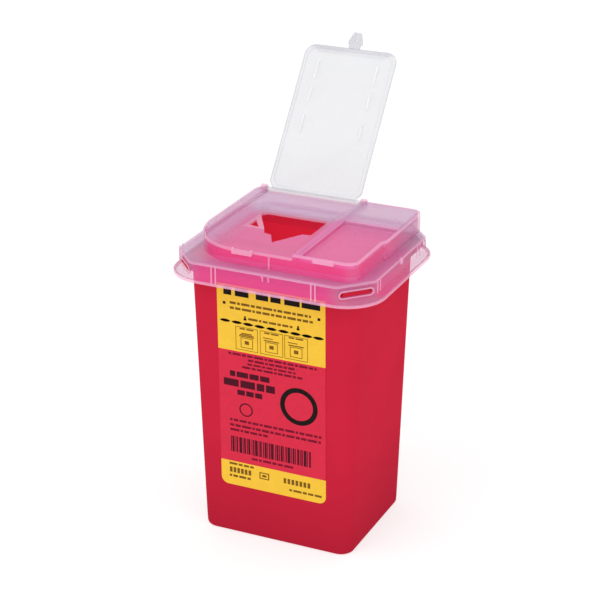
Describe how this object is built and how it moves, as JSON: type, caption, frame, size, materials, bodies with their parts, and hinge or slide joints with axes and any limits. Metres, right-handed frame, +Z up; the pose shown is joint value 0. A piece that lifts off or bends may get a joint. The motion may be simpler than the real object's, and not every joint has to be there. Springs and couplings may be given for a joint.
{
  "type": "sharps container",
  "caption": "Free-standing tapered sharps bin with a press-on milky lid, a funnel opening with a needle unwinder, and a hinged clear flap with a barbed latch.",
  "frame": {"origin": "centre of the bin's flat base, on the surface that it stands on", "axes": "+Z up out of the bin; -Y towards the label side; +X to the right seen from the label side, along the flap's hinge"},
  "size_m": [0.1142, 0.1481, 0.2387],
  "materials": {
    "red_plastic": "injection-moulded red polypropylene, satin",
    "label_film": "printed self-adhesive film, yellow and red, low gloss",
    "milky_plastic": "translucent natural polypropylene, satin",
    "flap_plastic": "thin translucent natural polypropylene, satin"
  },
  "bodies": {
    "root": {"container_bin": "red_plastic", "container_rim": "red_plastic", "snap_lugs": "red_plastic", "front_label": "label_film", "lid_skirt": "milky_plastic", "lid_rim_bead": "milky_plastic", "slot_rims": "milky_plastic", "skirt_ribs": "milky_plastic", "side_bosses": "milky_plastic", "lid_ledge": "milky_plastic", "lid_plug": "milky_plastic", "deck_wall": "milky_plastic", "deck_border": "milky_plastic", "funnel_tray": "milky_plastic", "needle_unwinder": "milky_plastic", "deck_ridge": "milky_plastic", "deck_panel": "milky_plastic", "deck_block": "milky_plastic", "front_lips": "milky_plastic", "hinge_knuckles": "milky_plastic"},
    "flap": {"flap_panel": "flap_plastic", "flap_rim": "flap_plastic", "flap_ribs": "flap_plastic", "flap_latch": "flap_plastic"}
  },
  "joints": [
    {"name": "flap_hinge", "type": "hinge", "parent": "root", "child": "flap", "pos_m": [-0.0135, 0.0422, 0.1642], "axis": [1, 0, 0], "range_deg": [0, 127.2]}
  ]
}
